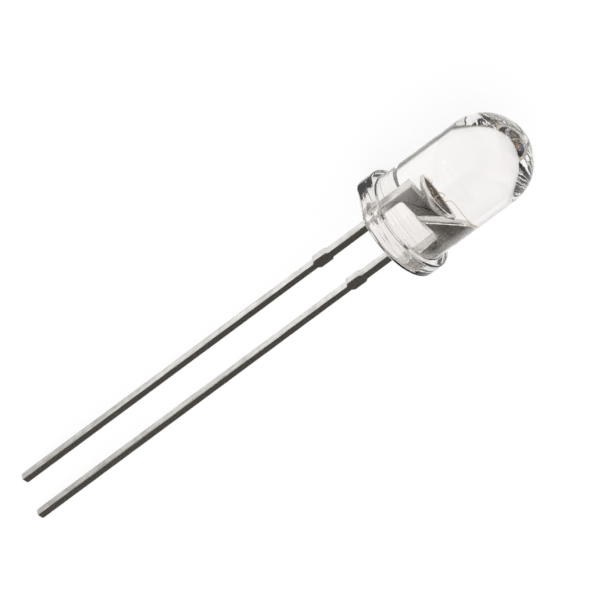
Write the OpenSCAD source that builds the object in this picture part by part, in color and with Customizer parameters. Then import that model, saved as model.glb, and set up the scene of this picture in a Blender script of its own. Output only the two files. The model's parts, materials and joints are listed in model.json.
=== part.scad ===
// Clear 5 mm through hole LED that changes colour by itself: two leads, three dies and a controller.
// Every piece is drawn upright, with x along the row of leads, y out of the sheet's front face and
// z up the axis of the lens from its seat. lying() then lays the whole on its flange and lead tips.

/* [Lens] */
// Diameter of the barrel and of the dome
lens_d = 5.0; // [4.8:0.05:5.4]
// Height of the dome's tip above the seat
lens_h = 8.7; // [7.8:0.1:9.6]
// Diameter of the flange
flange_d = 5.9; // [5.7:0.05:6.3]
// Height of the flange
flange_h = 1.0; // [0.8:0.05:1.4]
// Distance from the axis to the flat that marks the cathode
flat_reach = 2.62; // [2.52:0.01:2.8]
// Radius of the flange's two outer edges
flange_round = 0.12; // [0.05:0.01:0.25]
// Radius of the hollow edge where the barrel meets the flange
barrel_round = 0.10; // [0.04:0.01:0.2]

/* [Leads] */
// Distance between the middles of the two leads
lead_pitch = 2.54; // [2.3:0.02:2.7]
// Thickness of the sheet that both leads are stamped from
sheet_t = 0.40; // [0.3:0.02:0.5]
// Width of a lead below its stubs
lead_w = 0.45; // [0.36:0.01:0.5]
// Width of a lead between its stubs and the lens
neck_w = 0.50; // [0.42:0.01:0.6]
// Length of the cathode lead below the seat
cathode_len = 24.6; // [18:0.1:26]
// Length of the anode lead below the seat
anode_len = 25.9; // [18:0.1:28]
// Length of the taper that breaks the cut end of a lead
tip_taper = 0.10; // [0.02:0.01:0.2]
// Distance from the seat down to the middle of the stubs left by the tie bar
stub_drop = 3.8; // [2.5:0.1:6]
// Height of a stub
stub_h = 1.10; // [0.7:0.05:1.5]
// How far a stub stands out beside the neck
stub_reach = 0.11; // [0.05:0.01:0.2]
// Length of the slope at each end of a stub
stub_slope = 0.16; // [0.05:0.01:0.25]

/* [Frame inside the lens] */
// Height of the opening between the leads above the seat
window_h = 1.80; // [1.4:0.05:2.2]
// Radius of the two upper corners of that opening
window_round = 0.20; // [0.05:0.01:0.3]
// How far the anvil's shoulder, above the cathode lead, lies below the rim of the head
shoulder_drop = 0.50; // [0.4:0.02:0.6]
// How far the anvil's edge along the split stops below the rim of the head
tongue_drop = 0.06; // [0.02:0.01:0.15]
// Distance from the axis to the foot of the slanted split
split_foot = 0.02; // [0:0.01:0.2]
// Angle of the slanted split above the seat
split_angle = 59; // [56:1:62]
// Width of the slanted split between anvil and post
split_w = 0.24; // [0.2:0.01:0.36]
// How far the post's top stands above the rim of the head
post_over = 0.10; // [0:0.02:0.2]
// Distance from the axis to the post's outer edge
post_reach = 2.08; // [2.0:0.01:2.2]
// Height of the slope from the neck out to the post's outer edge
post_slope = 0.55; // [0.3:0.05:0.9]

/* [Reflector cup] */
// Diameter of the round head that holds the cup
head_d = 1.68; // [1.6:0.02:1.8]
// Height of the head's rim above the seat
head_h = 3.35; // [3.2:0.05:3.7]
// Height of the round band below the rim
head_band = 0.20; // [0.14:0.02:0.3]
// Height of the taper from the band in to the sheet
head_taper = 0.45; // [0.35:0.05:0.6]
// Diameter of the cup's mouth
cup_mouth_d = 1.40; // [1.3:0.02:1.42]
// Diameter of the cup's floor
cup_floor_d = 1.14; // [1.1:0.02:1.24]
// Depth of the cup
cup_depth = 0.30; // [0.26:0.02:0.34]

/* [Dies] */
// Side of the square controller chip
chip_w = 0.42; // [0.36:0.02:0.44]
// Height of the controller chip
chip_h = 0.15; // [0.1:0.01:0.2]
// Side of each square light emitting die
die_w = 0.22; // [0.18:0.01:0.23]
// Height of each light emitting die
die_h = 0.10; // [0.07:0.01:0.15]
// Distance between the middles of neighbouring dies
die_pitch = 0.27; // [0.26:0.01:0.28]
// Clear space between the controller chip and the dies
die_gap = 0.11; // [0.09:0.01:0.14]
// Thickness of the adhesive under a chip or die
glue_t = 0.02; // [0.01:0.005:0.03]
// How far the adhesive spreads past the edges
glue_lip = 0.015; // [0.005:0.005:0.018]

/* [Bond wires] */
// Diameter of the gold wire
wire_d = 0.026; // [0.02:0.002:0.036]
// Diameter of the ball that a wire starts from
ball_d = 0.08; // [0.06:0.005:0.09]
// Height of that ball
ball_h = 0.02; // [0.015:0.005:0.03]
// Length of the flattened foot that a wire ends in
foot_len = 0.06; // [0.04:0.01:0.08]
// Share of its height that the foot keeps
foot_flat = 0.5; // [0.4:0.05:0.8]
// Rise of a wire between a die and the controller
short_rise = 0.30; // [0.2:0.05:0.5]
// Rise of a wire over the cup's rim
rim_rise = 0.85; // [0.7:0.05:1.1]
// Rise of the wire across to the post
post_rise = 1.00; // [0.8:0.05:1.3]

/* [Hidden] */

lens_r = lens_d / 2;
flange_r = flange_d / 2;
dome_z = lens_h - lens_r;
lead_x = lead_pitch / 2;
head_r = head_d / 2;
cup_floor_z = head_h - cup_depth;
land_r = (head_r + cup_mouth_d / 2) / 2;
shoulder_h = head_h - shoulder_drop;
tongue_h = head_h - tongue_drop;
post_h = head_h + post_over;
lens_facets = 96;
small_facets = 48;
wire_sides = 8;
wire_steps = 9;

// The chip and the column of dies stand evenly about the middle of the cup's floor.
chip_x = -(die_w + die_gap) / 2;
die_x = (chip_w + die_gap) / 2;
chip_top = cup_floor_z + glue_t + chip_h;
die_top = cup_floor_z + glue_t + die_h;

// Distance across the sheet from the foot of the split to a point at height z on its slant.
function slant(z) = (z - window_h) / tan(split_angle);

// Points of an arc of radius r about c from angle a to angle b.
function arc(c, r, a, b, n = 6) = [for (i = [0:n]) let (t = a + (b - a) * i / n) c + r * [cos(t), sin(t)]];

// One edge of a lead from its tip up to the top of its stub, at distances from the lead's middle.
function lead_edge(len) = [
    [lead_w / 2 - tip_taper / 2, -len],
    [lead_w / 2, tip_taper - len],
    [lead_w / 2, -stub_drop - stub_h / 2],
    [neck_w / 2 + stub_reach, -stub_drop - stub_h / 2 + stub_slope],
    [neck_w / 2 + stub_reach, -stub_drop + stub_h / 2 - stub_slope],
    [neck_w / 2, -stub_drop + stub_h / 2]];

function shifted(points, side, x) = [for (p = points) [x + side * p[0], p[1]]];
function backwards(points) = [for (i = [len(points) - 1:-1:0]) points[i]];

// Rounded corner of the opening between a neck and the flag above it, on the inner side of a neck.
function window_corner() = arc([lead_x - neck_w / 2 - window_round, window_h - window_round],
                               window_round, 90, 0);

// Stamped outline of the cathode half: lead, stubs, neck and the anvil's flag, which is higher on the side
// of the split. The step between its two heights lies on the axis, inside the head.
function cathode_outline() = concat(
    shifted(lead_edge(cathode_len), 1, lead_x),
    [[lead_x + neck_w / 2, shoulder_h], [0, shoulder_h], [0, tongue_h],
     [-split_foot - slant(tongue_h), tongue_h], [-split_foot, window_h]],
    window_corner(),
    backwards(shifted(lead_edge(cathode_len), -1, lead_x)));

// Stamped outline of the anode half, drawn on the same side as the cathode and mirrored where it is used.
post_foot = split_foot + split_w / sin(split_angle);
function anode_outline() = concat(
    shifted(lead_edge(anode_len), 1, lead_x),
    [[lead_x + neck_w / 2, window_h], [post_reach, window_h + post_slope], [post_reach, post_h],
     [post_foot + slant(post_h), post_h], [post_foot, window_h]],
    window_corner(),
    backwards(shifted(lead_edge(anode_len), -1, lead_x)));

// A wire rises straight off its ball, follows a cubic curve and comes down flat on its foot.
function curve(p, t) = pow(1 - t, 3) * p[0] + 3 * pow(1 - t, 2) * t * p[1]
                       + 3 * (1 - t) * t * t * p[2] + pow(t, 3) * p[3];
function slope(p, t) = pow(1 - t, 2) * (p[1] - p[0]) + 2 * (1 - t) * t * (p[2] - p[1])
                       + t * t * (p[3] - p[2]);
function wire_curve(span, drop, rise) = [[0, ball_h * 1.5], [0, ball_h * 1.5 + rise],
    [(span - foot_len) / 2, drop + wire_d * foot_flat / 2], [span - foot_len, drop + wire_d * foot_flat / 2]];

// Each ring is [distance along, height, heading, half height, half width]. A ring's upper and lower
// sides are flat, at the half height, so that the foot lies face to face on its seat.
function wire_rings(span, drop, rise) = let (p = wire_curve(span, drop, rise), flat = wire_d * foot_flat / 2)
    concat(
        [[0, 0, 90, ball_d / 2, ball_d / 2], [0, ball_h, 90, ball_d / 2, ball_d / 2]],
        [for (i = [0:wire_steps - 1]) let (t = i / wire_steps, c = curve(p, t), s = slope(p, t))
            [c[0], c[1], atan2(s[1], s[0]), wire_d / 2, wire_d / 2]],
        [[span - foot_len, drop + flat, 0, flat, wire_d * 0.7], [span, drop + flat, 0, flat, wire_d * 0.9]]);
function ring_points(r) = [for (k = [0:wire_sides - 1])
    let (a = (k + 0.5) * 360 / wire_sides, rise = r[3] * cos(a) / cos(180 / wire_sides))
    [r[0] - sin(r[2]) * rise, r[4] * sin(a), r[1] + cos(r[2]) * rise]];
function tube_faces(n, sides) = concat(
    [[for (k = [0:sides - 1]) k]],
    [for (i = [0:n - 2], k = [0:sides - 1]) let (a = i * sides + k, b = i * sides + (k + 1) % sides)
        [a, a + sides, b]],
    [for (i = [0:n - 2], k = [0:sides - 1]) let (a = i * sides + k, b = i * sides + (k + 1) % sides)
        [b, a + sides, b + sides]],
    [[for (k = [sides - 1:-1:0]) (n - 1) * sides + k]]);

// Rest on a flat surface: the flange's lower edge and a corner of each lead tip touch it. The surface's
// normal in the upright drawing is [-tip_lean * s, ..., s], and s is found by repeated substitution.
tip_lean = (anode_len - cathode_len) / lead_pitch;
tip_x = lead_x + lead_w / 2 - tip_taper / 2;
function rest_sine(n, s = 0) = n == 0 ? s : rest_sine(n - 1,
    ((flange_r - flange_round) * sqrt(1 - s * s) + flange_round
     - sqrt(1 - s * s * (1 + tip_lean * tip_lean)) * sheet_t / 2)
    / (cathode_len + flange_round + tip_lean * tip_x));
rest_s = rest_sine(8);
rest_tilt = asin(rest_s);
rest_roll = -atan(tip_lean * rest_s / sqrt(1 - rest_s * rest_s * (1 + tip_lean * tip_lean)));

// The frame's origin lies under the middle of the box round the lying part, on the surface it rests on.
floor_drop = (flange_r - flange_round) * cos(rest_tilt) + flange_round - flange_round * rest_s;
front_x = dome_z * cos(rest_tilt) + lens_r;
back_x = -anode_len * cos(rest_tilt)
         - rest_s * (sheet_t / 2 * cos(rest_roll) - (lead_x + lead_w / 2) * sin(rest_roll));
flat_half = sqrt(flange_r * flange_r - flat_reach * flat_reach);
left_y = flat_reach * cos(rest_roll) - flat_half * sin(rest_roll);
right_y = -flange_r;

module lying() {
    translate([-(front_x + back_x) / 2, -(left_y + right_y) / 2, floor_drop])
        rotate([0, -rest_tilt, 0])
            rotate([rest_roll, 0, 0])
                rotate([90, 0, 90])
                    children();
}

// Flange, barrel and dome as one revolved outline, with the flat cut off the flange.
module lens_outline() {
    square([lens_r, dome_z]);
    intersection() {
        translate([0, dome_z])
            circle(r = lens_r, $fn = lens_facets);
        square([lens_r, lens_h]);
    }
    square([flange_r - flange_round, flange_h]);
    translate([0, flange_round])
        square([flange_r, flange_h - 2 * flange_round]);
    for (z = [flange_round, flange_h - flange_round])
        translate([flange_r - flange_round, z])
            circle(r = flange_round, $fn = small_facets);
    difference() {
        translate([0, flange_h])
            square([lens_r + barrel_round, barrel_round]);
        translate([lens_r + barrel_round, flange_h + barrel_round])
            circle(r = barrel_round, $fn = small_facets);
    }
}

module lens_body() {
    difference() {
        rotate_extrude($fn = lens_facets)
            lens_outline();
        translate([flat_reach, -flange_r, -flange_h])
            cube([flange_r, flange_d, 3 * flange_h]);
    }
}

module stamping(outline) {
    translate([0, sheet_t / 2, 0])
        rotate([90, 0, 0])
            linear_extrude(sheet_t)
                polygon(outline);
}

// The anvil's round head, upset from the sheet, with the conical cup sunk into it.
module cathode_half() {
    difference() {
        union() {
            stamping(cathode_outline());
            translate([0, 0, head_h - head_band])
                cylinder(h = head_band, r = head_r, $fn = small_facets);
            translate([0, 0, head_h - head_band - head_taper])
                cylinder(h = head_taper, r1 = sheet_t / 2, r2 = head_r, $fn = small_facets);
        }
        translate([0, 0, cup_floor_z])
            cylinder(h = 2 * cup_depth, d1 = cup_floor_d, d2 = 2 * cup_mouth_d - cup_floor_d,
                     $fn = small_facets);
    }
}

module anode_half() {
    mirror([1, 0, 0])
        stamping(anode_outline());
}

// A chip or a die on its adhesive, with its middle at x, y of the cup's floor.
module block(x, y, w, h) {
    translate([x - w / 2, y - w / 2, cup_floor_z + glue_t])
        cube([w, w, h]);
}

module glue(x, y, w) {
    translate([x - w / 2 - glue_lip, y - w / 2 - glue_lip, cup_floor_z])
        cube([w + 2 * glue_lip, w + 2 * glue_lip, glue_t]);
}

module wire(start, end, rise) {
    run = end - start;
    rings = wire_rings(norm([run[0], run[1]]), run[2], rise);
    translate(start)
        rotate([0, 0, atan2(run[1], run[0])])
            polyhedron([for (r = rings) each ring_points(r)], tube_faces(len(rings), wire_sides));
}

// Bonding places: on the chip, on a die, on the land round the cup's mouth and on the post.
function on_chip(x, y) = [chip_x + x * chip_w, y * chip_w, chip_top];
function on_die(x, y, row) = [die_x + x * die_w, row * die_pitch + y * die_w, die_top];
function on_land(a) = let (r = land_r + foot_len / 2) [r * cos(a), r * sin(a), head_h];
post_bond = [-(post_foot + slant(post_h) + post_reach) / 2, 0, post_h];

module supply() { wire(on_chip(-0.36, 0), post_bond, post_rise); }
module ground() { wire(on_chip(-0.3, -0.34), on_land(-118), rim_rise); }
module red_signal() { wire(on_die(0, 0, 0), on_chip(0.26, 0), short_rise); }
module green_signal() { wire(on_die(-0.2, 0, 1), on_chip(0.2, 0.3), short_rise); }
module green_return() { wire(on_die(0.2, 0.2, 1), on_land(47), rim_rise); }
module blue_signal() { wire(on_die(-0.2, 0, -1), on_chip(0.2, -0.3), short_rise); }
module blue_return() { wire(on_die(0.2, -0.2, -1), on_land(-47), rim_rise); }

// All that the epoxy is cast round.
module cast_in() {
    cathode_half();
    anode_half();
    block(chip_x, 0, chip_w, chip_h);
    glue(chip_x, 0, chip_w);
    for (row = [-1, 0, 1]) {
        block(die_x, row * die_pitch, die_w, die_h);
        glue(die_x, row * die_pitch, die_w);
    }
    supply();
    ground();
    red_signal();
    green_signal();
    green_return();
    blue_signal();
    blue_return();
}

module epoxy_lens() {
    color([0.93, 0.94, 0.95, 0.35])
        lying()
            difference() {
                lens_body();
                cast_in();
            }
}

module cathode_lead() { color([0.66, 0.65, 0.62]) lying() cathode_half(); }
module anode_lead() { color([0.66, 0.65, 0.62]) lying() anode_half(); }
module controller_chip() { color([0.30, 0.31, 0.34]) lying() block(chip_x, 0, chip_w, chip_h); }
module red_die() { color([0.55, 0.22, 0.16]) lying() block(die_x, 0, die_w, die_h); }
module green_die() { color([0.62, 0.74, 0.66]) lying() block(die_x, die_pitch, die_w, die_h); }
module blue_die() { color([0.62, 0.68, 0.78]) lying() block(die_x, -die_pitch, die_w, die_h); }
module controller_adhesive() { color([0.80, 0.80, 0.78]) lying() glue(chip_x, 0, chip_w); }
module red_adhesive() { color([0.80, 0.80, 0.78]) lying() glue(die_x, 0, die_w); }
module green_adhesive() { color([0.80, 0.80, 0.78]) lying() glue(die_x, die_pitch, die_w); }
module blue_adhesive() { color([0.80, 0.80, 0.78]) lying() glue(die_x, -die_pitch, die_w); }
module supply_wire() { color([0.86, 0.68, 0.25]) lying() supply(); }
module ground_wire() { color([0.86, 0.68, 0.25]) lying() ground(); }
module red_wire() { color([0.86, 0.68, 0.25]) lying() red_signal(); }
module green_wire() { color([0.86, 0.68, 0.25]) lying() green_signal(); }
module green_return_wire() { color([0.86, 0.68, 0.25]) lying() green_return(); }
module blue_wire() { color([0.86, 0.68, 0.25]) lying() blue_signal(); }
module blue_return_wire() { color([0.86, 0.68, 0.25]) lying() blue_return(); }

epoxy_lens();
cathode_lead();
anode_lead();
controller_chip();
red_die();
green_die();
blue_die();
controller_adhesive();
red_adhesive();
green_adhesive();
blue_adhesive();
supply_wire();
ground_wire();
red_wire();
green_wire();
green_return_wire();
blue_wire();
blue_return_wire();
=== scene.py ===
"""Clear 5 mm through hole LED: lens, stamped leads, cup with its dies, and the white table it lies on."""
import json
import math

import bmesh
import bpy
import numpy as np
from bpy.props import FloatProperty, FloatVectorProperty, IntProperty, PointerProperty
from mathutils import Matrix, Vector


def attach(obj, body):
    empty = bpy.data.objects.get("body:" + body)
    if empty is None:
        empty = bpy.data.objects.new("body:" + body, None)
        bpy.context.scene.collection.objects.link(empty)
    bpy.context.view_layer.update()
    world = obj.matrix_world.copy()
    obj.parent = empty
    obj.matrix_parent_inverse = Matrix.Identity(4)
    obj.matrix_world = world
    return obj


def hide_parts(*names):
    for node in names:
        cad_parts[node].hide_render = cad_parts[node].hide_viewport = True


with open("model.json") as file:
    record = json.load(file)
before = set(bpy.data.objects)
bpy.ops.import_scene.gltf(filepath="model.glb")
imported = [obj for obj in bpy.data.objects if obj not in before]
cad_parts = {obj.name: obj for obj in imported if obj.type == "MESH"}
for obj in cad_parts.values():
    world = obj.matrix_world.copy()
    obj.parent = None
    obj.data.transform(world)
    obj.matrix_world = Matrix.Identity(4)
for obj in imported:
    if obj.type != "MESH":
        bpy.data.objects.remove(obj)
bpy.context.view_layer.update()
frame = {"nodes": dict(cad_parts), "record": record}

bl_info = {
    "name": "Through Hole LED",
    "version": (1, 0, 0),
    "blender": (4, 5, 0),
    "location": "View3D > Sidebar > LED",
    "description": "Builds a clear through hole LED round its CAD frame",
    "category": "Object",
}

MM = 0.001
MOUNTS = {mount["name"]: mount for mount in frame["record"]["mounts"]}


def unit(vector):
    """The vector divided by its length."""
    vector = np.asarray(vector, float)
    return vector / np.linalg.norm(vector)


# The LED's own upright axes in the row frame: up the lens, along the row of leads, out of the sheet.
SEAT = np.array(MOUNTS["seating_face"]["pos_m"])
AXIS = -unit(MOUNTS["seating_face"]["axis"])
PINS = np.array(MOUNTS["cathode_pin"]["pos_m"]) - np.array(MOUNTS["anode_pin"]["pos_m"])
PITCH = float(np.linalg.norm(PINS))
ROW = unit(PINS)
FACE = np.cross(AXIS, ROW)
LENS_R = MOUNTS["lens_barrel"]["dims"]["r_mm"] * MM


def length(name, description, millimetres):
    """A length setting whose default is given in millimetres."""
    return FloatProperty(name=name, description=description, default=millimetres * MM, precision=5,
                         subtype="DISTANCE", unit="LENGTH")


def colour(name, description, default):
    """A colour setting."""
    return FloatVectorProperty(name=name, description=description, size=3, subtype="COLOR",
                               default=default, min=0.0, max=1.0)


def angle(name, description, degrees):
    """An angle setting whose default is given in degrees."""
    return FloatProperty(name=name, description=description, default=math.radians(degrees),
                         subtype="ANGLE", unit="ROTATION")


class LensSettings(bpy.types.PropertyGroup):
    """Sizes and colour of the epoxy lens."""
    height: length("Height", "From the seat to the dome's tip", 8.7)
    flange_radius: length("Flange radius", "Radius of the flange", 2.95)
    flange_height: length("Flange height", "Height of the flange", 1.0)
    flat_reach: length("Flat", "From the axis to the flat on the flange", 2.62)
    flange_round: length("Flange edge", "Radius of the flange's outer edges", 0.12)
    barrel_round: length("Barrel foot", "Radius of the hollow at the barrel's foot", 0.10)
    seam: length("Seam", "How far the mould's seam stands out round the flange", 0.012)
    seam_width: length("Seam width", "Distance in which the seam falls away", 0.035)
    dish: length("Dish", "Depth of the hollow that the poured face keeps", 0.14)
    meniscus: length("Meniscus", "Width over which the poured face rises to its rim", 0.20)
    ripple: length("Ripple", "Height of the waves left in the poured face", 0.015)
    climb: length("Climb", "How far the resin creeps down each lead", 0.12)
    creep: length("Creep", "Distance in which the creep falls away round each lead", 0.16)
    sides: IntProperty(name="Sides", description="Facets round the lens", default=320, min=32, max=512)
    tint: colour("Tint", "Colour of the clear resin", (0.968, 0.946, 0.936))
    # Painted shade: the flange's resin is darker, standing in for the LED's shadow on the table seen
    # through it.
    deep: colour("Flange tint", "Colour of the resin where it is seen edgeways in the flange",
                 (0.82, 0.795, 0.775))
    refraction: FloatProperty(name="Refraction", description="Index of refraction of the resin",
                              default=1.53, min=1.3, max=1.7, subtype="FACTOR")


class SheetSettings(bpy.types.PropertyGroup):
    """Sizes and finish of the two halves stamped from one plated sheet."""
    sheet: length("Sheet", "Thickness of the sheet", 0.40)
    lead_width: length("Lead width", "Width of a lead below its stubs", 0.45)
    neck_width: length("Neck width", "Width of a lead between its stubs and the lens", 0.50)
    cathode_length: length("Cathode length", "Length of the cathode lead below the seat", 24.6)
    anode_length: length("Anode length", "Length of the anode lead below the seat", 25.9)
    tip_taper: length("Tip taper", "Length of the taper at the cut end of a lead", 0.10)
    stub_drop: length("Stub drop", "From the seat down to the middle of the stubs", 3.8)
    stub_height: length("Stub height", "Height of a stub", 1.10)
    stub_reach: length("Stub reach", "How far a stub stands out beside the neck", 0.11)
    stub_slope: length("Stub slope", "Length of the slope at each end of a stub", 0.16)
    window_height: length("Window height", "Height of the opening between the leads", 1.80)
    window_round: length("Window corner", "Radius of that opening's upper corners", 0.20)
    shoulder_drop: length("Shoulder drop", "From the head's rim down to the anvil's shoulder", 0.50)
    tongue_drop: length("Tongue drop", "From the head's rim down to the anvil's tongue", 0.06)
    bed: length("Bed", "How much sheet lies under the edge of the cup's floor", 0.01)
    split_foot: length("Split foot", "From the axis to the foot of the slanted split", 0.02)
    split_angle: angle("Split angle", "Angle of the split above the seat", 59.0)
    split_width: length("Split width", "Width of the slanted split", 0.24)
    post_over: length("Post height", "How far the post stands above the head's rim", 0.10)
    post_reach: length("Post reach", "From the axis to the post's outer edge", 2.08)
    post_slope: length("Post slope", "Height of the slope out to the post's outer edge", 0.55)
    rollover: length("Rollover", "Radius that the punch leaves on the front edges", 0.10)
    burr_round: length("Back edge", "Radius left on the back edges", 0.040)
    bright: colour("Plating", "Colour of the bright plating", (0.94, 0.93, 0.90))
    dull: colour("Tarnish", "Colour where the plating is dull", (0.40, 0.385, 0.36))
    # Painted shade: the cup's wall is really bright plating, and this dark colour stands in for the dark
    # surroundings that it would mirror.
    coined: colour("Coined wall", "Colour of the cup's wall, scuffed dark by the coining punch",
                   (0.13, 0.125, 0.12))


class CupSettings(bpy.types.PropertyGroup):
    """Sizes and colours of the head, its cup and what the cup holds."""
    head_radius: length("Head radius", "Radius of the round head", 0.84)
    head_height: length("Head height", "Height of the head's rim above the seat", 3.35)
    head_band: length("Head band", "Height of the band below the rim", 0.20)
    head_taper: length("Head taper", "Height of the taper from the band in to the sheet", 0.45)
    lip_round: length("Lip", "Radius of the rim's edges", 0.025)
    mouth_radius: length("Mouth radius", "Radius of the cup's mouth", 0.70)
    floor_radius: length("Floor radius", "Radius of the cup's floor", 0.57)
    depth: length("Depth", "Depth of the cup", 0.30)
    corner: length("Cup corner", "Radius between the cup's wall and its floor", 0.05)
    chip_side: length("Controller side", "Side of the controller chip", 0.42)
    chip_height: length("Controller height", "Height of the controller chip", 0.15)
    die_side: length("Die side", "Side of each light emitting die", 0.22)
    die_height: length("Die height", "Height of each light emitting die", 0.10)
    die_pitch: length("Die pitch", "Between the middles of neighbouring dies", 0.27)
    die_gap: length("Die gap", "Between the controller chip and the dies", 0.11)
    glue: length("Adhesive film", "Thickness of the adhesive", 0.02)
    wire_radius: length("Wire radius", "Radius of the gold wire", 0.013)
    ball_radius: length("Ball radius", "Radius of the ball that a wire starts from", 0.04)
    ball_height: length("Ball height", "Height of that ball", 0.02)
    foot: length("Foot", "Length of the flattened foot that a wire ends in", 0.06)
    short_rise: length("Short rise", "Rise of a wire between a die and the controller", 0.30)
    rim_rise: length("Rim rise", "Rise of a wire over the cup's rim", 0.85)
    post_rise: length("Post rise", "Rise of the wire across to the post", 1.00)
    silicon: colour("Controller", "Colour of the controller chip", (0.10, 0.11, 0.14))
    red: colour("Red die", "Colour of the red die", (0.42, 0.10, 0.06))
    green: colour("Green die", "Colour of the green die", (0.46, 0.62, 0.52))
    blue: colour("Blue die", "Colour of the blue die", (0.44, 0.52, 0.68))
    paste: colour("Silver adhesive", "Colour of the silver adhesive", (0.72, 0.72, 0.70))
    gold: colour("Gold", "Colour of the bond wires", (0.86, 0.70, 0.46))


class StageSettings(bpy.types.PropertyGroup):
    """Table, light and camera."""
    table_half: length("Table", "Half the side of the white table", 500.0)
    glow: FloatProperty(name="Glow", description="Share of the table's white that shadows leave alone",
                        default=0.88, min=0.0, max=1.0, subtype="FACTOR")
    shade: colour("Shade", "Tone that the dark sides of the room lean to", (1.0, 0.88, 0.77))
    lamp_size: length("Lamp size", "Width of the soft lamp", 250.0)
    lamp_power: FloatProperty(name="Lamp power", description="Power of the soft lamp in watts",
                              default=0.35, min=0.0)
    lean: angle("Lean", "Angle of the lens's axis towards the viewer", 24.7)
    turn: angle("Turn", "Turn of the row of leads about the lens's axis", 41.0)
    slant: angle("Slant", "Angle of the lens's axis above the image's base line", 36.5)
    field: length("Field", "Width of the view at the LED", 30.3)
    lens_mm: FloatProperty(name="Camera lens", description="Focal length in millimetres", default=1500.0)
    seat_right: length("Seat right", "Seat's place right of the image's middle", 4.79)
    seat_up: length("Seat up", "Seat's place above the image's middle", 3.62)


def lay_down(upright):
    """Upright points laid on the table: x along the row, y out of the sheet, z up the lens."""
    return SEAT + upright[:, :1] * ROW + upright[:, 1:2] * FACE + upright[:, 2:3] * AXIS


# Points nearer to each other than this are one point, in metres.
TOUCHING = 1e-8


def new_mesh(name, upright, faces, sharp_angle=40.0):
    """A closed mesh object of upright points and faces: doubles merged, smooth apart from sharp edges."""
    mesh = bpy.data.meshes.new(name)
    mesh.from_pydata(lay_down(upright).tolist(), [], faces)
    tidy = bmesh.new()
    tidy.from_mesh(mesh)
    bmesh.ops.remove_doubles(tidy, verts=tidy.verts, dist=TOUCHING)
    bmesh.ops.recalc_face_normals(tidy, faces=tidy.faces)
    tidy.to_mesh(mesh)
    tidy.free()
    mesh.shade_smooth()
    mesh.set_sharp_from_angle(angle=math.radians(sharp_angle))
    piece = bpy.data.objects.new(name, mesh)
    bpy.context.scene.collection.objects.link(piece)
    return piece


def grid_faces(rows, columns, first=0):
    """Quads of a grid of rows by columns whose columns close on themselves."""
    i, j = np.meshgrid(np.arange(rows - 1), np.arange(columns), indexing="ij")
    k = (j + 1) % columns
    corners = (i * columns + j, i * columns + k, (i + 1) * columns + k, (i + 1) * columns + j)
    return (np.stack(corners, -1).reshape(-1, 4) + first).tolist()


def revolved(profile, sides):
    """Points of a profile of radius and height turned about the lens's axis."""
    turn = np.arange(sides) * 2 * math.pi / sides
    x = profile[:, :1] * np.cos(turn)
    y = profile[:, :1] * np.sin(turn)
    return np.stack([x, y, np.repeat(profile[:, 1:], sides, 1)], -1).reshape(-1, 3)


def arc(centre, radius, start, end, steps):
    """Points of a circular arc from one angle to another, in degrees, its first point left out."""
    turn = np.radians(np.linspace(start, end, steps + 1)[1:])
    return np.stack([centre[0] + radius * np.cos(turn), centre[1] + radius * np.sin(turn)], -1)


def weighted(piece):
    """Let the large flat faces keep their own normals beside the small roundings."""
    modifier = piece.modifiers.new("flat faces", "WEIGHTED_NORMAL")
    modifier.keep_sharp = True
    modifier.weight = 100


def dress(piece, nodes, material):
    """The piece stands for its nodes, rides with them and takes a material."""
    piece.data.materials.clear()
    piece.data.materials.append(material)
    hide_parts(*nodes)
    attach(piece, "root")


def need(met, message):
    """Stop an operator that can't finish with its settings."""
    if not met:
        raise ValueError(message)


# Rings of the lens on its seat, up the flange's side, up the barrel and over the dome.
SEAT_ROWS, WALL_ROWS, BARREL_ROWS, DOME_ROWS = 64, 25, 24, 56
# Steps round a small moulded or stamped corner.
EDGE_STEPS = 8


def lens_profile(s):
    """Outline of the lens as distance from the axis and height, from the seat's middle to the tip.

    It runs out along the seat, round the flange's two edges, in to the barrel by a hollow quarter circle,
    up the barrel, and over the dome on a quarter circle about the dome's centre. The mould's seam stands
    out half way up the flange as a low bell curve.
    """
    dome = s.height - LENS_R
    inner = s.flange_radius - s.flange_round
    seat_radii = np.linspace(0.0, inner, SEAT_ROWS)
    seat = np.stack([seat_radii, np.zeros_like(seat_radii)], -1)
    low = arc((inner, s.flange_round), s.flange_round, -90, 0, EDGE_STEPS)
    high = arc((inner, s.flange_height - s.flange_round), s.flange_round, 0, 90, EDGE_STEPS)
    wall = np.linspace(s.flange_round, s.flange_height - s.flange_round, WALL_ROWS + 1)[1:]
    bell = np.exp(-((wall - s.flange_height / 2) / s.seam_width) ** 2)
    wall = np.stack([s.flange_radius - s.seam * (1.0 - bell), wall], -1)
    low[:, 0] -= s.seam
    high[:, 0] -= s.seam
    foot = (LENS_R + s.barrel_round, s.flange_height + s.barrel_round)
    hollow = np.concatenate([[[foot[0], s.flange_height]], arc(foot, s.barrel_round, 270, 180, EDGE_STEPS)])
    rise = np.linspace(foot[1], dome, BARREL_ROWS + 1)[1:]
    barrel = np.stack([np.full_like(rise, LENS_R), rise], -1)
    cap = arc((0.0, dome), LENS_R, 0, 90, DOME_ROWS)
    return np.concatenate([seat, low, wall, high, hollow, barrel, cap])


# Lengths of the waves in the poured face, along the row, out of the sheet and of their skew, and where
# they start in radians.
WAVE_ROW, WAVE_FACE, WAVE_SKEW = 0.31 * MM, 0.37 * MM, 0.9 * MM
WAVE_STARTS = (1.3, 0.4)


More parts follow.
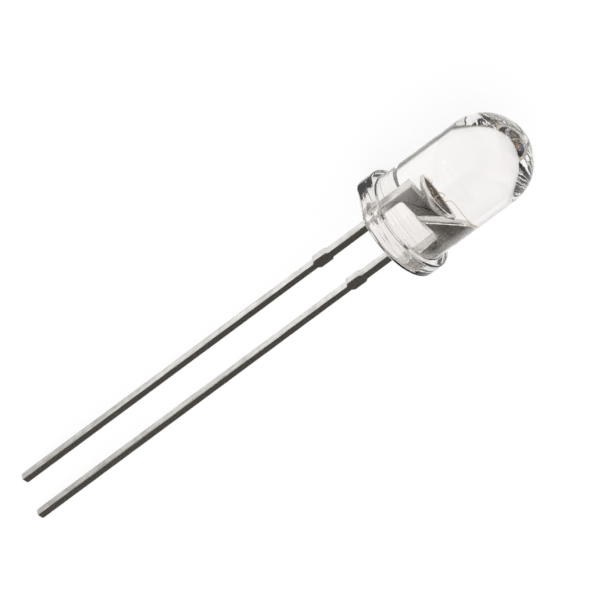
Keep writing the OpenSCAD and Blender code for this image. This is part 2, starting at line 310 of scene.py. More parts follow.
def seat_relief(s, sheet, x, y):
    """Height of the poured face at x, y.

    It is a shallow dish whose meniscus rises to the rim by the exponential of the distance from it, with
    slow waves across it as a product of sines. Round each lead the resin creeps down by the exponential
    of the distance to the lead's section.
    """
    inwards = np.maximum(s.flange_radius - s.flange_round - np.hypot(x, y), 0.0)
    shelter = 1.0 - np.exp(-inwards / s.meniscus)
    waves = (np.sin(x / WAVE_ROW + WAVE_STARTS[0])
             * np.sin(y / WAVE_FACE + WAVE_STARTS[1] + x / WAVE_SKEW))
    height = s.dish * shelter + s.ripple * waves * shelter
    for side in (-1, 1):
        dx = np.maximum(np.abs(x - side * PITCH / 2) - sheet.neck_width / 2, 0.0)
        dy = np.maximum(np.abs(y) - sheet.sheet / 2, 0.0)
        height = height - (s.climb + s.dish) * np.exp(-np.hypot(dx, dy) / s.creep)
    return height


# Least cosine between a facet's direction and the flat's; the flat leaves the facets beyond it alone.
LEAST_FACING = 0.1


class LED_OT_epoxy_lens(bpy.types.Operator):
    """Cast the lens: flange with its flat, barrel and dome as one revolved surface"""
    bl_idname = "led.epoxy_lens"
    bl_label = "Epoxy lens"

    def execute(self, context):
        """Each ring of the profile is a circle, cut off by the flat where it lies on the flange."""
        s = context.scene.led_lens
        need(LENS_R < s.flat_reach < s.flange_radius, "the flat must lie between the barrel and the flange")
        need(LENS_R + s.flange_height < s.height, "the lens is too low for its flange and dome")
        profile = lens_profile(s)
        corner = math.acos(s.flat_reach / s.flange_radius)
        turn = np.arange(s.sides) * 2 * math.pi / s.sides + corner % (2 * math.pi / s.sides)
        radius = np.repeat(profile[:, :1], s.sides, 1)
        height = np.repeat(profile[:, 1:], s.sides, 1)
        flat = s.flat_reach / np.maximum(np.cos(turn), LEAST_FACING)
        on_flange = height <= s.flange_height + s.barrel_round
        radius = np.where(on_flange, np.minimum(radius, flat[None, :]), radius)
        x, y = radius * np.cos(turn), radius * np.sin(turn)
        height[:SEAT_ROWS] = seat_relief(s, context.scene.led_sheet, x[:SEAT_ROWS], y[:SEAT_ROWS])
        upright = np.stack([x, y, height], -1).reshape(-1, 3)
        piece = new_mesh("clear_epoxy_lens", upright, grid_faces(len(profile), s.sides))
        dress(piece, ["epoxy_lens"], clear_epoxy(s))
        return {"FINISHED"}


def slant(s, height):
    """Distance across the sheet from the foot of the split to a point at this height on its slant."""
    return (height - s.window_height) / math.tan(s.split_angle)


def lead_edge(s, reach, side):
    """One edge of a lead from its tip up to the top of its stub, on its left or right side."""
    half_lead, half_neck = s.lead_width / 2, s.neck_width / 2
    low, high = -s.stub_drop - s.stub_height / 2, -s.stub_drop + s.stub_height / 2
    out = half_neck + s.stub_reach
    points = np.array([[half_lead - s.tip_taper / 2, -reach], [half_lead, s.tip_taper - reach],
                       [half_lead, low], [out, low + s.stub_slope], [out, high - s.stub_slope],
                       [half_neck, high]])
    return points * (side, 1.0) + (PITCH / 2, 0.0)


def window_corner(s):
    """Rounded corner between a neck and the part of the sheet above the window."""
    inner = PITCH / 2 - s.neck_width / 2
    centre = (inner - s.window_round, s.window_height - s.window_round)
    return np.concatenate([[[centre[0], s.window_height]], arc(centre, s.window_round, 90, 0, EDGE_STEPS)])


def cathode_outline(s, cup):
    """Outline of the cathode half: lead, stubs, neck, shoulder and tongue, with room for the cup."""
    rim = cup.head_height
    shoulder, tongue = rim - s.shoulder_drop, rim - s.tongue_drop
    wall = (cup.mouth_radius + cup.head_radius) / 2
    under = rim - cup.depth - s.bed
    flag = [[PITCH / 2 + s.neck_width / 2, shoulder], [0.0, shoulder], [-cup.floor_radius, under],
            [-wall, rim - cup.head_band], [-wall, tongue], [-s.split_foot - slant(s, tongue), tongue],
            [-s.split_foot, s.window_height]]
    return np.concatenate([lead_edge(s, s.cathode_length, 1), flag, window_corner(s),
                           lead_edge(s, s.cathode_length, -1)[::-1]])


def post_foot(s):
    """Distance from the axis to the post's edge at the foot of the split."""
    return s.split_foot + s.split_width / math.sin(s.split_angle)


def anode_outline(s, cup):
    """Outline of the anode half, drawn beside the cathode and mirrored where it is used."""
    post = cup.head_height + s.post_over
    flag = [[PITCH / 2 + s.neck_width / 2, s.window_height], [s.post_reach, s.window_height + s.post_slope],
            [s.post_reach, post], [post_foot(s) + slant(s, post), post], [post_foot(s), s.window_height]]
    return np.concatenate([lead_edge(s, s.anode_length, 1), flag, window_corner(s),
                           lead_edge(s, s.anode_length, -1)[::-1]])


def inset(outline, distance):
    """The outline moved inwards: each corner slides along its mitre, outline taken anticlockwise."""
    before = outline - np.roll(outline, 1, 0)
    after = np.roll(outline, -1, 0) - outline
    before /= np.linalg.norm(before, axis=1, keepdims=True)
    after /= np.linalg.norm(after, axis=1, keepdims=True)
    left = np.stack([-before[:, 1], before[:, 0]], -1) + np.stack([-after[:, 1], after[:, 0]], -1)
    return outline + distance * 2 * left / np.sum(left * left, 1, keepdims=True)


def stamping(s, outline, mirror=1.0):
    """Points and faces of a stamped half.

    The outline is drawn through the sheet in rings. Near each face a ring lies inset by the rounding's
    one minus cosine and back from the face by its one minus sine, so the front edges have the wide
    rounding of the punch and the back edges a small one.
    """
    rings = []
    for face, rounding in ((1.0, s.rollover), (-1.0, s.burr_round)):
        steps = [(rounding * (1 - math.cos(t)), face * (s.sheet / 2 - rounding * (1 - math.sin(t))))
                 for t in np.radians((90, 72, 54, 36, 18, 0))]
        rings += steps if face > 0 else steps[::-1]
    points = []
    for distance, depth in rings:
        flat = inset(outline, distance)
        points.append(np.stack([flat[:, 0] * mirror, np.full(len(flat), depth), flat[:, 1]], -1))
    count = len(outline)
    faces = grid_faces(len(rings), count)
    faces.append(list(range(count)))
    faces.append([(len(rings) - 1) * count + k for k in range(count)])
    return np.concatenate(points), faces


# The head's facets, and the steps along its flare and round its lip.
HEAD_SIDES, FLARE_ROWS, LIP_STEPS = 128, 17, 5
# Power by which the flare widens, and the share of its rise that follows a cube.
FLARE_POWER, FLARE_CUBE = 0.85, 0.25


def head_profile(s, cup):
    """Outline of the coined head: a smooth flare out of the sheet, the band, the lip and the cup inside it.

    Along the flare the radius grows by a power of the way, and the height is partly the way itself and
    partly its cube.
    """
    rim, lip = cup.head_height, cup.lip_round
    low = rim - cup.head_band - cup.head_taper
    way = np.linspace(0.0, 1.0, FLARE_ROWS)
    flare = np.stack([s.sheet / 2 + (cup.head_radius - s.sheet / 2) * way ** FLARE_POWER,
                      low + cup.head_taper * ((1 - FLARE_CUBE) * way + FLARE_CUBE * way ** 3)], -1)
    outer = arc((cup.head_radius - lip, rim - lip), lip, 0, 90, LIP_STEPS)
    inner = arc((cup.mouth_radius + lip, rim - lip), lip, 90, 160, LIP_STEPS)
    floor = rim - cup.depth
    bend = arc((cup.floor_radius - cup.corner, floor + cup.corner), cup.corner, -20, -90, LIP_STEPS)
    return np.concatenate([[[0.0, low]], flare, [[cup.head_radius, rim - lip]], outer, inner, bend,
                           [[0.0, floor]]])


class LED_OT_leads(bpy.types.Operator):
    """Stamp both halves of the frame and coin the head with its cup"""
    bl_idname = "led.leads"
    bl_label = "Stamped leads"

    def execute(self, context):
        """The cathode half is its stamping and the head that was coined from it."""
        s, cup = context.scene.led_sheet, context.scene.led_cup
        need(2 * max(s.rollover, s.burr_round) < s.sheet, "the sheet is too thin for its rounded edges")
        need(cup.floor_radius < cup.mouth_radius < cup.head_radius, "the cup must lie inside the head")
        metal = plated_steel(s, cup)
        flag, flag_faces = stamping(s, cathode_outline(s, cup))
        profile = head_profile(s, cup)
        head = revolved(profile, HEAD_SIDES)
        piece = new_mesh("plated_cathode_lead", np.concatenate([flag, head]),
                         flag_faces + grid_faces(len(profile), HEAD_SIDES, len(flag)))
        weighted(piece)
        dress(piece, ["cathode_lead"], metal)
        post, post_faces = stamping(s, anode_outline(s, cup), -1.0)
        piece = new_mesh("plated_anode_lead", post, post_faces)
        weighted(piece)
        dress(piece, ["anode_lead"], metal)
        return {"FINISHED"}


class LED_OT_cup_contents(bpy.types.Operator):
    """Give the chip, the dies and their adhesive their finishes"""
    bl_idname = "led.cup_contents"
    bl_label = "Chip and dies"

    def execute(self, context):
        """The solids stay as they are and take their materials."""
        s = context.scene.led_cup
        finish("controller_chip", crystal("controller_silicon", s.silicon, roughness=0.18))
        for name in ("red", "green", "blue"):
            finish(name + "_die", crystal(name + "_crystal", getattr(s, name), roughness=0.3))
        paste = silver_paste(s)
        for name in ("controller", "red", "green", "blue"):
            finish(name + "_adhesive", paste)
        return {"FINISHED"}


def finish(node, material):
    """Put a material on a CAD node."""
    need(node in frame["nodes"], "the frame holds no " + node)
    mesh = frame["nodes"][node].data
    mesh.materials.clear()
    mesh.materials.append(material)


def bond_places(s, sheet):
    """Start, end and rise of each bond wire, in the upright LED.

    Places on the chip and the dies are shares of their sides from their middles. Places on the rim are in
    degrees round the cup, from the side where the dies are.
    """
    floor = s.head_height - s.depth + s.glue
    chip_x, die_x = -(s.die_side + s.die_gap) / 2, (s.chip_side + s.die_gap) / 2

    def chip(x, y):
        return np.array([chip_x + x * s.chip_side, y * s.chip_side, floor + s.chip_height])

    def die(x, y, row):
        return np.array([die_x + x * s.die_side, row * s.die_pitch + y * s.die_side, floor + s.die_height])

    def land(degrees):
        radius = (s.head_radius + s.mouth_radius) / 2 + s.foot / 2
        turn = math.radians(degrees)
        return np.array([radius * math.cos(turn), radius * math.sin(turn), s.head_height])

    post = s.head_height + sheet.post_over
    post_x = -(post_foot(sheet) + slant(sheet, post) + sheet.post_reach) / 2
    return {
        "supply_wire": (chip(-0.36, 0), np.array([post_x, 0, post]), s.post_rise),
        "ground_wire": (chip(-0.3, -0.34), land(-118), s.rim_rise),
        "red_wire": (die(0, 0, 0), chip(0.26, 0), s.short_rise),
        "green_wire": (die(-0.2, 0, 1), chip(0.2, 0.3), s.short_rise),
        "green_return_wire": (die(0.2, 0.2, 1), land(47), s.rim_rise),
        "blue_wire": (die(-0.2, 0, -1), chip(0.2, -0.3), s.short_rise),
        "blue_return_wire": (die(0.2, -0.2, -1), land(-47), s.rim_rise),
    }


# Facets round a wire, and its rings up the ball, along the curve and over the pressed foot.
WIRE_SIDES, BALL_ROWS, CURVE_ROWS, FOOT_ROWS = 12, 8, 44, 8
# Height of the ball's neck in ball heights; how much thinner and wider than the wire its foot is pressed.
NECK, THINNER, WIDER = 1.5, 0.5, 0.8
# Share of the ball's height that is squashed flat below it.
SQUASH = 0.1


def wire_surface(s, start, end, rise):
    """Points and faces of one bond wire.

    The ball is a flattened round. From its top the wire follows a cubic curve that leaves straight up and
    lands level, and over its last stretch it is pressed from a round section to a flat, wide foot.
    """
    run = end - start
    span, drop = float(np.hypot(run[0], run[1])), float(run[2])
    need(span > s.foot, "a wire's two bonds lie too close together")
    neck, pressed = s.ball_height * NECK, s.wire_radius * (1 - THINNER)
    stops = np.array([[0.0, neck], [0.0, neck + rise], [(span - s.foot) / 2, drop + pressed],
                      [span - s.foot, drop + pressed]])
    t = np.linspace(0.0, 1.0, CURVE_ROWS)[:, None]
    path = ((1 - t) ** 3 * stops[0] + 3 * (1 - t) ** 2 * t * stops[1] + 3 * (1 - t) * t * t * stops[2]
            + t ** 3 * stops[3])
    ball = np.linspace(0.0, 1.0, BALL_ROWS + 1)[:-1, None]
    path = np.concatenate([ball * (0.0, neck), path, [[span, drop + pressed]]])
    heading = np.gradient(path, axis=0)
    heading[:BALL_ROWS + 1] = (0.0, 1.0)
    heading[-2:] = (1.0, 0.0)
    heading /= np.linalg.norm(heading, axis=1, keepdims=True)
    foot_start = len(path) - FOOT_ROWS
    press = np.clip((np.arange(len(path)) - foot_start) / (FOOT_ROWS - 2), 0.0, 1.0)
    thick = s.wire_radius * (1 - THINNER * press)
    wide = s.wire_radius * (1 + WIDER * press)
    swell = np.sqrt(np.clip(1 - (2 * (SQUASH + (1 - SQUASH) * ball[:, 0]) - 1) ** 2, 0.0, 1.0))
    thick[:BALL_ROWS] = wide[:BALL_ROWS] = np.maximum(s.ball_radius * swell, s.wire_radius)
    turn = (np.arange(WIRE_SIDES) + 0.5) * 2 * math.pi / WIRE_SIDES
    lift, across = np.outer(thick, np.cos(turn)), np.outer(wide, np.sin(turn))
    along = path[:, :1] - heading[:, 1:] * lift
    up = path[:, 1:] + heading[:, :1] * lift
    way = np.array([run[0], run[1], 0.0]) / span
    side = np.array([-way[1], way[0], 0.0])
    points = (start + along[..., None] * way + across[..., None] * side
              + up[..., None] * np.array([0.0, 0.0, 1.0])).reshape(-1, 3)
    faces = grid_faces(len(path), WIRE_SIDES)
    faces.append(list(range(WIRE_SIDES)))
    faces.append([(len(path) - 1) * WIRE_SIDES + k for k in range(WIRE_SIDES)])
    return points, faces


class LED_OT_bond_wires(bpy.types.Operator):
    """Bond the gold wires between controller, dies, rim and post"""
    bl_idname = "led.bond_wires"
    bl_label = "Bond wires"

    def execute(self, context):
        """Each wire is a tube along its own curve."""
        s = context.scene.led_cup
        gold = bond_gold(s)
        for node, (start, end, rise) in bond_places(s, context.scene.led_sheet).items():
            points, faces = wire_surface(s, start, end, rise)
            dress(new_mesh("gold_" + node, points, faces), [node], gold)
        return {"FINISHED"}


class Nodes:
    """Short way to build a node tree: add a node, set its inputs, and link it."""

    def __init__(self, tree):
        self.tree = tree

    def add(self, kind, settings=None, **inputs):
        """A new node; an input is a value or another node's output, with spaces of its name as _."""
        node = self.tree.nodes.new(kind)
        for key, value in (settings or {}).items():
            setattr(node, key, value)
        for key, value in inputs.items():
            self.put(node, key.replace("_", " "), value)
        return node

    def put(self, node, key, value):
        """Set or link one input, named or numbered."""
        socket = node.inputs[int(key)] if key.isdigit() else node.inputs[key]
        if isinstance(value, bpy.types.NodeSocket):
            self.tree.links.new(value, socket)
        else:
            socket.default_value = value

    def math(self, operation, *values):
        """Output of a math node."""
        node = self.tree.nodes.new("ShaderNodeMath")
        node.operation = operation
        for number, value in enumerate(values):
            self.put(node, str(number), value)
        return node.outputs[0]

    def vector(self, operation, first, second):
        """Vector node of two inputs."""
        node = self.add("ShaderNodeVectorMath", {"operation": operation})
        self.put(node, "0", first)
        self.put(node, "1", second)
        return node

    def remap(self, value, low, high, to_low, to_high):
        """Output of a smooth map from one range to another."""
        node = self.add("ShaderNodeMapRange", {"interpolation_type": "SMOOTHSTEP"}, Value=value,
                        From_Min=low, From_Max=high, To_Min=to_low, To_Max=to_high)
        return node.outputs[0]

    def mix(self, share, first, second):
        """Output colour between two colours."""
        node = self.add("ShaderNodeMix", {"data_type": "RGBA"})
        self.put(node, "0", share)
        self.put(node, "6", first if isinstance(first, bpy.types.NodeSocket) else (*first, 1.0))
        self.put(node, "7", second if isinstance(second, bpy.types.NodeSocket) else (*second, 1.0))
        return node.outputs[2]

    def bump(self, height, depth):
        """Normal output of a bump of a real depth in metres."""
        return self.add("ShaderNodeBump", None, Height=height, Distance=depth).outputs[0]


def material_tree(name):
    """A material with an empty tree, its builder and its Principled shader."""
    material = bpy.data.materials.new(name)
    material.use_nodes = True
    material.node_tree.nodes.clear()
    nodes = Nodes(material.node_tree)
    shader = nodes.add("ShaderNodeBsdfPrincipled")
    nodes.add("ShaderNodeOutputMaterial", Surface=shader.outputs[0])
    return material, nodes, shader


# Default sizes of the sheet's grain in millimetres.
GRAIN_SIZES = (("Streak Length", 1.6), ("Streak Width", 0.05), ("Blotch Size", 0.6), ("Pit Size", 0.05))


def grain_group():
    """Shared node group: fine streaks along the leads, broad blotches, and small pits, each from 0 to 1."""
    name = "sheet_grain"
    if name in bpy.data.node_groups:
        return bpy.data.node_groups[name]
    group = bpy.data.node_groups.new(name, "ShaderNodeTree")
    for socket, default in GRAIN_SIZES:
        size = group.interface.new_socket(socket, in_out="INPUT", socket_type="NodeSocketFloat")
        size.default_value = default * MM
    for socket in ("Streaks", "Blotches", "Pits"):
        group.interface.new_socket(socket, in_out="OUTPUT", socket_type="NodeSocketFloat")
    nodes = Nodes(group)
    sizes = nodes.add("NodeGroupInput").outputs
    outputs = nodes.add("NodeGroupOutput")
    place = nodes.add("ShaderNodeTexCoord").outputs["Object"]
    tilt = math.atan2(AXIS[2], AXIS[0])
    level = nodes.add("ShaderNodeMapping", {"vector_type": "TEXTURE"}, Vector=place,
                      Rotation=(0.0, -tilt, 0.0)).outputs[0]
    grid = nodes.add("ShaderNodeCombineXYZ", None, X=sizes[0], Y=sizes[1], Z=sizes[1]).outputs[0]
    stretched = nodes.vector("DIVIDE", level, grid).outputs[0]
    streak = nodes.add("ShaderNodeTexNoise", None, Vector=stretched, Scale=1.0, Detail=3.0,
                       Roughness=0.6).outputs[0]
    nodes.put(outputs, "Streaks", nodes.remap(streak, 0.3, 0.7, 0.0, 1.0))
    blotch = nodes.add("ShaderNodeTexNoise", None, Vector=place, Detail=4.0, Roughness=0.65,
                       Scale=nodes.math("DIVIDE", 1.0, sizes[2])).outputs[0]
    nodes.put(outputs, "Blotches", nodes.remap(blotch, 0.35, 0.7, 0.0, 1.0))
    pit = nodes.add("ShaderNodeTexNoise", None, Vector=place, Detail=2.0, Roughness=0.5,
                    Scale=nodes.math("DIVIDE", 1.0, sizes[3])).outputs[0]
    nodes.put(outputs, "Pits", nodes.remap(pit, 0.55, 0.75, 0.0, 1.0))
    return group


def grain(nodes, **sizes):
    """Outputs of the grain group placed in a material with its own sizes in millimetres."""
    sizes = {key: value * MM for key, value in sizes.items()}
    return nodes.add("ShaderNodeGroup", {"node_tree": grain_group()}, **sizes).outputs


def clear_epoxy(s):
    """Clear cast resin: glass with a moulded face's slight ripple and a tint, with painted shade in the
    flange.
    """
    material, nodes, shader = material_tree("clear_cast_epoxy")
    texture = grain(nodes, Blotch_Size=1.6, Pit_Size=0.4)
    place = nodes.add("ShaderNodeTexCoord").outputs["Object"]
    height = nodes.vector("DOT_PRODUCT", place, tuple(AXIS)).outputs["Value"]
    edge = float(np.dot(SEAT, AXIS)) + s.flange_height
    # Painted shade: the resin darkens in the flange, in place of the shadow under the LED seen through it.
    flange = nodes.remap(height, edge, edge + 2 * s.barrel_round, 1.0, 0.0)
    nodes.put(shader, "Base Color", nodes.mix(flange, s.tint, s.deep))
    nodes.put(shader, "Roughness", nodes.remap(texture["Pits"], 0.0, 1.0, 0.0, 0.035))
    nodes.put(shader, "IOR", s.refraction)
    nodes.put(shader, "Transmission Weight", 1.0)
    nodes.put(shader, "Normal", nodes.bump(texture["Blotches"], 0.002 * MM))
    return material


def cup_wall(nodes, place, cup):
    """Mask of the cup's coined wall, where shade is painted: inside the rim's radius, between the floor and
    the lip.
    """
    offset = nodes.vector("SUBTRACT", place, tuple(SEAT)).outputs[0]
    height = nodes.vector("DOT_PRODUCT", offset, tuple(AXIS)).outputs["Value"]
    sideways = nodes.vector("CROSS_PRODUCT", offset, tuple(AXIS)).outputs[0]
    radius = nodes.vector("DISTANCE", sideways, (0.0, 0.0, 0.0)).outputs["Value"]
    floor, lip = cup.head_height - cup.depth, cup.lip_round
    above = nodes.remap(height, floor + lip, floor + 2 * lip, 0.0, 1.0)
    below = nodes.remap(height, cup.head_height - 2 * lip, cup.head_height - lip, 1.0, 0.0)
    inside = nodes.remap(radius, cup.mouth_radius, cup.mouth_radius + lip, 1.0, 0.0)
    return nodes.math("MULTIPLY", nodes.math("MULTIPLY", above, below), inside)


# How far the plating dulls towards the tips and with the blotches, the streaks and the pits, and how much
# the tips roughen.
TIPS_DULL, BLOTCHES_DULL, STREAKS_DULL, PITS_DULL = 0.48, 0.28, 0.42, 0.5
TIPS_ROUGH = 0.30


def plated_steel(s, cup):
    """Tin plated steel sheet: streaks from rolling, dull blotches and pits.

    The plating is duller and rougher towards the tips. On the cup's coined wall it carries painted shade.
    """
    material, nodes, shader = material_tree("plated_steel_sheet")
    texture = grain(nodes)
    place = nodes.add("ShaderNodeTexCoord").outputs["Object"]
    along = nodes.vector("DOT_PRODUCT", place, tuple(AXIS)).outputs["Value"]
    seat = float(np.dot(SEAT, AXIS))
    towards_tips = nodes.remap(along, seat - s.anode_length, seat - s.stub_drop, TIPS_DULL, 0.0)
    dulled = nodes.math("MULTIPLY_ADD", texture["Blotches"], BLOTCHES_DULL, towards_tips)
    dulled = nodes.math("MULTIPLY_ADD", texture["Streaks"], STREAKS_DULL, dulled)
    tone = nodes.mix(dulled, s.bright, s.dull)
    tone = nodes.mix(nodes.math("MULTIPLY", texture["Pits"], PITS_DULL), tone, s.dull)
    # Painted shade on the cup's coined wall, made patchy by the pits. It stands in for the dark that the
    # bright wall would mirror.
    shade_patches = nodes.remap(texture["Pits"], 0.0, 1.0, 1.0, 0.6)
    shaded = nodes.math("MULTIPLY", cup_wall(nodes, place, cup), shade_patches)
    nodes.put(shader, "Base Color", nodes.mix(shaded, tone, s.coined))
    nodes.put(shader, "Metallic", 1.0)
    rough = nodes.math("MULTIPLY_ADD", texture["Streaks"], 0.10, 0.14)
    rough = nodes.math("MULTIPLY_ADD", texture["Blotches"], 0.08, rough)
    nodes.put(shader, "Roughness", nodes.math("MULTIPLY_ADD", towards_tips, TIPS_ROUGH, rough))
    height = nodes.math("MULTIPLY_ADD", texture["Pits"], -0.6, texture["Streaks"])
    nodes.put(shader, "Normal", nodes.bump(height, 0.0034 * MM))
    return material


def crystal(name, tone, roughness):
    """Sawn crystal: a smooth face with fine saw marks."""
    material, nodes, shader = material_tree(name)
    texture = grain(nodes, Streak_Length=0.2, Streak_Width=0.008, Blotch_Size=0.08, Pit_Size=0.02)
    paler = tuple(0.6 * channel + 0.4 for channel in tone)
    blotches = nodes.math("MULTIPLY", texture["Blotches"], 0.35)
    nodes.put(shader, "Base Color", nodes.mix(blotches, tuple(tone), paler))
    nodes.put(shader, "Roughness", nodes.math("MULTIPLY_ADD", texture["Pits"], 0.2, roughness))
    nodes.put(shader, "Normal", nodes.bump(texture["Streaks"], 0.0006 * MM))
    return material


def silver_paste(s):
    """Silver filled adhesive: pale, rough and flecked with metal."""
    material, nodes, shader = material_tree("silver_filled_adhesive")
    texture = grain(nodes, Blotch_Size=0.05, Pit_Size=0.012)
    darker = tuple(0.6 * channel for channel in s.paste)
    nodes.put(shader, "Base Color", nodes.mix(texture["Blotches"], tuple(s.paste), darker))
    nodes.put(shader, "Metallic", 0.6)
    nodes.put(shader, "Roughness", nodes.math("MULTIPLY_ADD", texture["Pits"], 0.25, 0.45))
    nodes.put(shader, "Normal", nodes.bump(texture["Pits"], 0.002 * MM))
    return material


def bond_gold(s):
    """Drawn gold wire: bright, with faint draw marks."""
    material, nodes, shader = material_tree("bond_wire_gold")
    texture = grain(nodes, Streak_Length=0.1, Streak_Width=0.004, Blotch_Size=0.05, Pit_Size=0.01)
    redder = (s.gold[0], s.gold[1] * 0.85, s.gold[2] * 0.7)
    nodes.put(shader, "Base Color", nodes.mix(texture["Blotches"], tuple(s.gold), redder))
    nodes.put(shader, "Metallic", 1.0)
    nodes.put(shader, "Roughness", nodes.math("MULTIPLY_ADD", texture["Streaks"], 0.1, 0.15))
    nodes.put(shader, "Normal", nodes.bump(texture["Streaks"], 0.0004 * MM))
    return material


def table_white(s):
    """White table: most of its white is steady for rays that are seen, the rest takes light and shadow."""
    material = bpy.data.materials.new("white_table")
    material.use_nodes = True
    material.node_tree.nodes.clear()
    nodes = Nodes(material.node_tree)
    path = nodes.add("ShaderNodeLightPath").outputs
    seen = nodes.math("MAXIMUM", path["Is Glossy Ray"], path["Is Transmission Ray"])
    seen = nodes.math("MAXIMUM", path["Is Camera Ray"], seen)
    steady = nodes.add("ShaderNodeEmission", None, Strength=nodes.math("MULTIPLY", seen, s.glow))
    left = 1.0 - s.glow
    lit = nodes.add("ShaderNodeBsdfDiffuse", None, Color=(left, left, left, 1.0))
    both = nodes.add("ShaderNodeAddShader")
    nodes.put(both, "0", steady.outputs[0])
    nodes.put(both, "1", lit.outputs[0])
    nodes.add("ShaderNodeOutputMaterial", Surface=both.outputs[0])
    return material


def viewer_axes(s):
    """Right, up and towards the viewer, from the lens's lean, the row's turn and the slant in the image."""
    lean_c, lean_s = math.cos(s.lean), math.sin(s.lean)
    near = math.sin(s.turn) * ROW + math.cos(s.turn) * FACE
    towards = lean_s * AXIS + lean_c * near
    along = lean_c * AXIS - lean_s * near
    across = -math.cos(s.turn) * ROW + math.sin(s.turn) * FACE
    slant_c, slant_s = math.cos(s.slant), math.sin(s.slant)
    return slant_c * along + slant_s * across, slant_s * along - slant_c * across, towards


# Dark parts of the room, which metal and resin show: direction as up the lens, along the row and out of
# the sheet, inner and outer angle in degrees, and how dark it is.
DARK_SIDES = (
    ((-0.46, -0.44, 0.77), 35.0, 46.0, 0.94),
    ((-0.44, 0.16, 0.88), 26.0, 38.0, 0.94),
    ((0.88, -0.30, 0.36), 24.0, 38.0, 0.66),
    ((-0.826, 0.246, 0.507), 18.0, 34.0, 0.55),
    ((0.50, 0.40, 0.77), 22.0, 44.0, 0.45),
)


# The camera's sensor in millimetres and the nearest and farthest that it sees, in metres.
SENSOR, NEAREST, FARTHEST = 36.0, 0.01, 10.0
# Middle of the soft lamp, in metres from the frame's origin.
LAMP_PLACE = Vector((0.1, 0.25, 0.35))


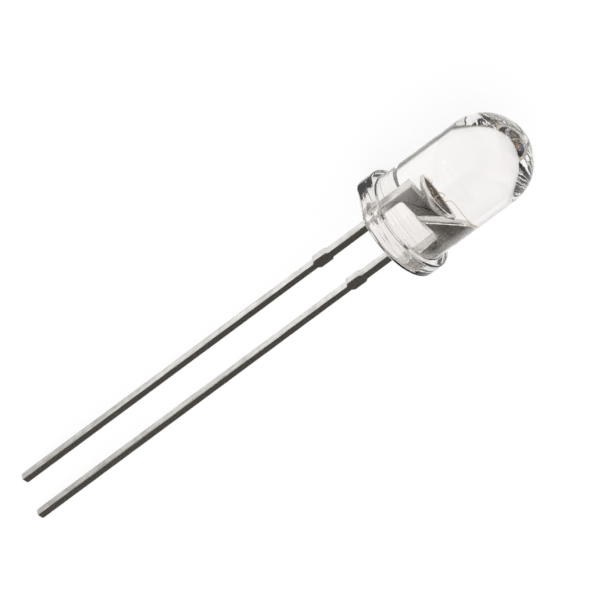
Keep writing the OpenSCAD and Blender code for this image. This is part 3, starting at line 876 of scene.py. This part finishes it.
class LED_OT_stage(bpy.types.Operator):
    """Lay out the white table, the soft light and the camera"""
    bl_idname = "led.stage"
    bl_label = "Table, light and camera"

    def execute(self, context):
        """The camera looks from the viewer's side with a long lens; the light is white and wide."""
        scene = context.scene
        s = scene.led_stage
        need(s.field > 0.0 and s.lens_mm > 0.0, "the view needs a width and a focal length")
        scene.view_settings.view_transform = "Standard"
        axes = viewer_axes(s)
        self.camera(scene, s, *axes)
        self.table(scene, s)
        self.room(scene, s)
        self.lamp(scene, s)
        return {"FINISHED"}

    def camera(self, scene, s, right, up, towards):
        """A camera whose middle ray passes beside the seat, so that the seat falls on its place."""
        data = bpy.data.cameras.new("camera")
        data.lens = s.lens_mm
        data.sensor_width = SENSOR
        data.clip_start = NEAREST
        data.clip_end = FARTHEST
        target = SEAT - s.seat_right * right - s.seat_up * up
        place = target + towards * s.field * s.lens_mm / SENSOR
        camera = bpy.data.objects.new("camera", data)
        turn = Matrix((right, up, towards)).transposed().to_4x4()
        camera.matrix_world = Matrix.Translation(Vector(place)) @ turn
        scene.collection.objects.link(camera)
        scene.camera = camera

    def table(self, scene, s):
        """A flat square in the plane that the LED lies on."""
        half = s.table_half
        corners = [(-half, -half, 0.0), (half, -half, 0.0), (half, half, 0.0), (-half, half, 0.0)]
        mesh = bpy.data.meshes.new("table")
        mesh.from_pydata(corners, [], [(0, 1, 2, 3)])
        mesh.materials.append(table_white(s))
        table = bpy.data.objects.new("table", mesh)
        scene.collection.objects.link(table)

    def room(self, scene, s):
        """White all round. Only rays off metal and through resin also see the dark sides of the room."""
        world = bpy.data.worlds.new("studio")
        scene.world = world
        world.use_nodes = True
        world.node_tree.nodes.clear()
        nodes = Nodes(world.node_tree)
        way = nodes.add("ShaderNodeTexCoord").outputs["Generated"]
        dark = 0.0
        for direction, inner, outer, depth in DARK_SIDES:
            aim = unit(direction[0] * AXIS + direction[1] * ROW + direction[2] * FACE)
            dot = nodes.vector("DOT_PRODUCT", way, tuple(aim)).outputs["Value"]
            none, full = math.cos(math.radians(outer)), math.cos(math.radians(inner))
            share = nodes.remap(dot, none, full, 0.0, depth)
            dark = nodes.math("MAXIMUM", share, dark)
        path = nodes.add("ShaderNodeLightPath").outputs
        seen = nodes.math("MAXIMUM", path["Is Glossy Ray"], path["Is Transmission Ray"])
        shade = nodes.math("MULTIPLY", dark, seen)
        tone = nodes.mix(shade, (1.0, 1.0, 1.0), s.shade)
        level = nodes.math("SUBTRACT", 1.0, shade)
        back = nodes.add("ShaderNodeBackground", None, Color=tone, Strength=level)
        nodes.add("ShaderNodeOutputWorld", Surface=back.outputs[0])

    def lamp(self, scene, s):
        """A wide soft lamp above the table."""
        data = bpy.data.lights.new("soft lamp", "AREA")
        data.shape = "DISK"
        data.size = s.lamp_size
        data.energy = s.lamp_power
        lamp = bpy.data.objects.new("soft lamp", data)
        aim = LAMP_PLACE.to_track_quat("Z", "Y").to_matrix().to_4x4()
        lamp.matrix_world = Matrix.Translation(LAMP_PLACE) @ aim
        lamp.visible_glossy = False
        scene.collection.objects.link(lamp)


class LED_PT_panel(bpy.types.Panel):
    """Sidebar panel that lists the pieces and the stage"""
    bl_label = "Through hole LED"
    bl_idname = "LED_PT_panel"
    bl_space_type = "VIEW_3D"
    bl_region_type = "UI"
    bl_category = "LED"

    def draw(self, context):
        """One button for each operator, and the settings below."""
        for operator in PIECES:
            self.layout.operator(operator.bl_idname)
        for group in SETTINGS:
            settings = getattr(context.scene, group)
            box = self.layout.box()
            for key in settings.__annotations__:
                box.prop(settings, key)


SETTINGS = {"led_lens": LensSettings, "led_sheet": SheetSettings, "led_cup": CupSettings,
            "led_stage": StageSettings}
PIECES = (LED_OT_stage, LED_OT_epoxy_lens, LED_OT_leads, LED_OT_cup_contents, LED_OT_bond_wires)


def register():
    """Register the classes and hang the settings on the scene."""
    for cls in (*SETTINGS.values(), *PIECES, LED_PT_panel):
        bpy.utils.register_class(cls)
    for name, cls in SETTINGS.items():
        setattr(bpy.types.Scene, name, PointerProperty(type=cls))


def unregister():
    """Take the settings and the classes away again."""
    for name in SETTINGS:
        delattr(bpy.types.Scene, name)
    for cls in reversed((*SETTINGS.values(), *PIECES, LED_PT_panel)):
        bpy.utils.unregister_class(cls)


def main():
    """Build every piece in order."""
    register()
    bpy.ops.led.stage()
    bpy.ops.led.epoxy_lens()
    bpy.ops.led.leads()
    bpy.ops.led.cup_contents()
    bpy.ops.led.bond_wires()


if __name__ == "__main__":
    main()
